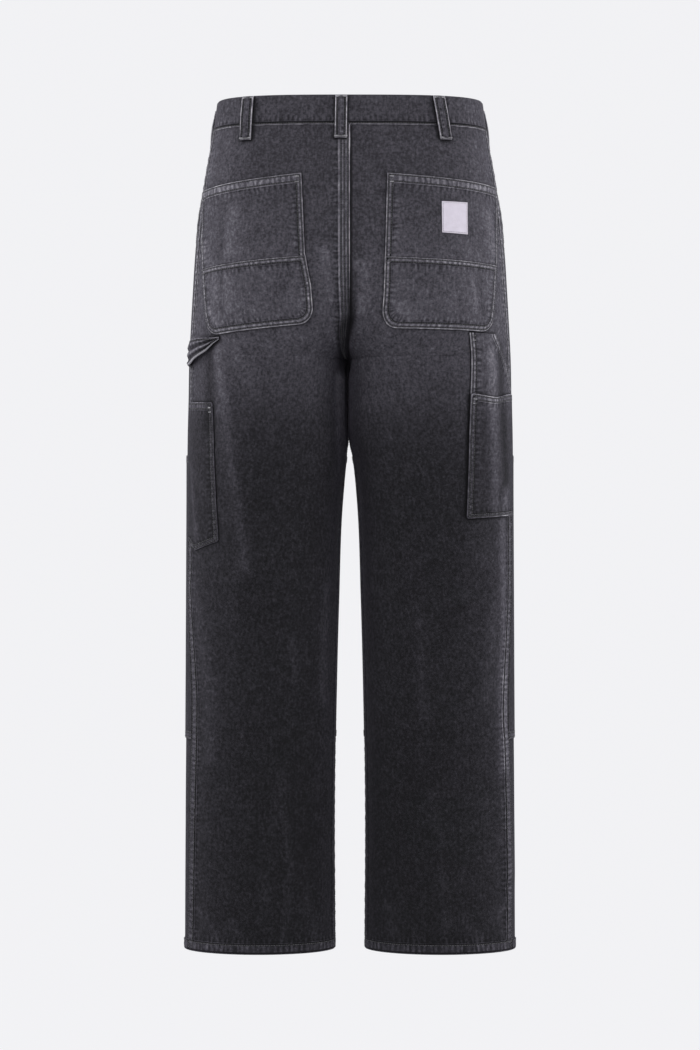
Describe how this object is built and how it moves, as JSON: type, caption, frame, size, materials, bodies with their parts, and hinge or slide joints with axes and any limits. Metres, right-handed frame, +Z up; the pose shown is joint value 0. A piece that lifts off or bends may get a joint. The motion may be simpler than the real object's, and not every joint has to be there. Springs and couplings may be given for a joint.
{
  "type": "cargo jeans",
  "caption": "Hollow, filled-out black denim work jeans with patch back pockets, tool pockets, a hammer loop and knee panels, open at the waist and hems.",
  "frame": {"origin": "Middle of the waist opening, half-way up the waistband, where the wearer's waist holds the jeans.", "axes": "+Z up the body, -Y out of the back of the jeans, +Y out of the front, +X towards the wearer's right."},
  "size_m": [0.4194, 0.2468, 1.068],
  "materials": {
    "black_denim": "washed black cotton twill, matt",
    "woven_label": "plain woven label",
    "dark_metal": "antiqued, satin"
  },
  "bodies": {
    "root": {"back_panel_left": "black_denim", "back_panel_right": "black_denim", "front_panel_left": "black_denim", "front_panel_right": "black_denim", "front_pocket_facing_left": "black_denim", "front_pocket_facing_right": "black_denim", "waistband": "black_denim", "belt_loop_back_centre": "black_denim", "belt_loop_back_left": "black_denim", "belt_loop_back_right": "black_denim", "belt_loop_side_left": "black_denim", "belt_loop_side_right": "black_denim", "belt_loop_front_left": "black_denim", "belt_loop_front_right": "black_denim", "back_pocket_left_upper": "black_denim", "back_pocket_left_lower": "black_denim", "back_pocket_right_upper": "black_denim", "back_pocket_right_lower": "black_denim", "tool_pocket_right_large": "black_denim", "tool_pocket_right_small": "black_denim", "tool_pocket_left": "black_denim", "hammer_loop": "black_denim", "knee_panel_left": "black_denim", "knee_panel_right": "black_denim", "fly": "black_denim", "label": "woven_label", "waist_button": "dark_metal"}
  },
  "joints": []
}
